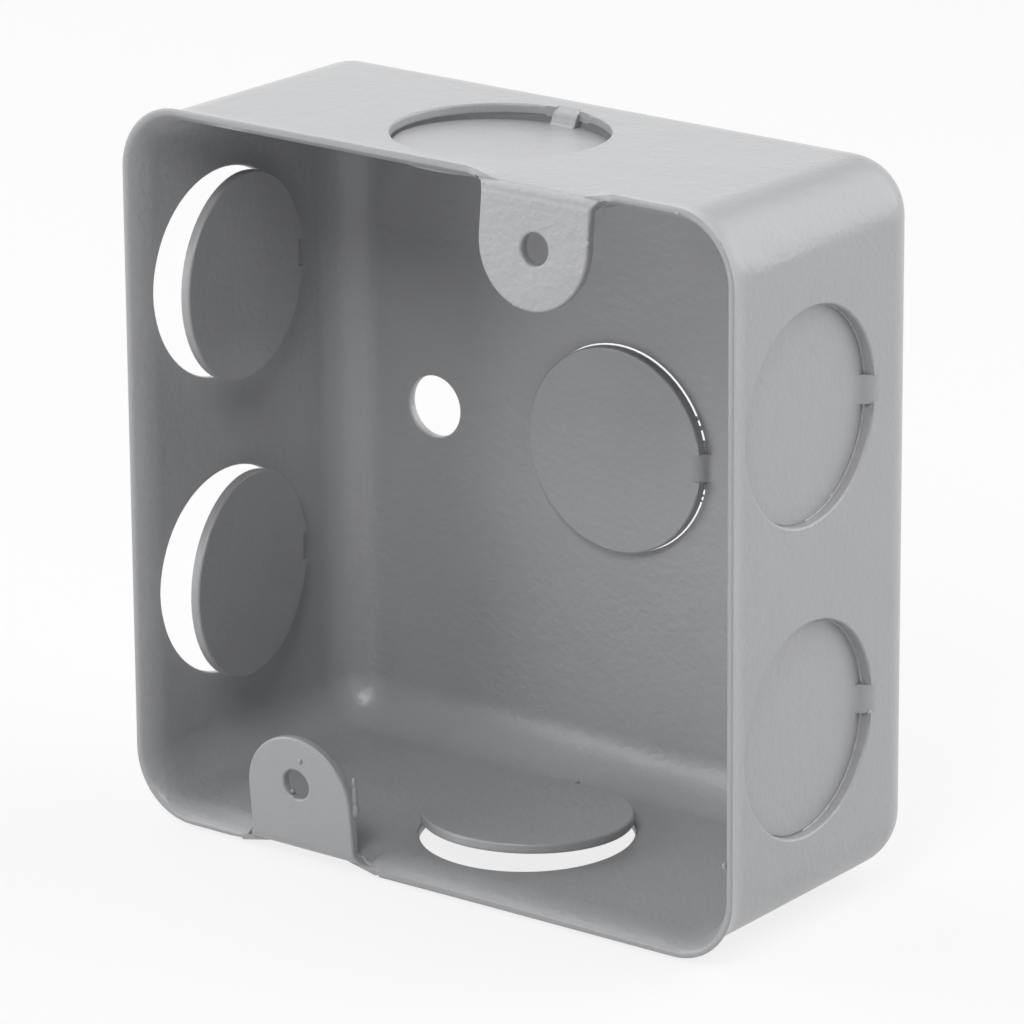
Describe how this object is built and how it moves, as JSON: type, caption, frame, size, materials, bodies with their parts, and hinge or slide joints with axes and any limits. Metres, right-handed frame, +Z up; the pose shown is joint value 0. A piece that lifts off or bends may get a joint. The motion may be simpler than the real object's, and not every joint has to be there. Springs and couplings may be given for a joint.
{
  "type": "square electrical box",
  "caption": "Square drawn steel wiring box with pushed-in round knockouts and folded screw ears at its open front.",
  "frame": {"origin": "centre of the back plate's outer face, midway between its two fixing holes", "axes": "+Y out of the back plate, so the open front faces -Y; +Z up; +X to the right seen from the front"},
  "size_m": [0.0778, 0.0371, 0.0782],
  "materials": {
    "painted_steel": "semi-gloss grey enamel"
  },
  "bodies": {
    "root": {"square_box": "painted_steel"}
  },
  "joints": []
}
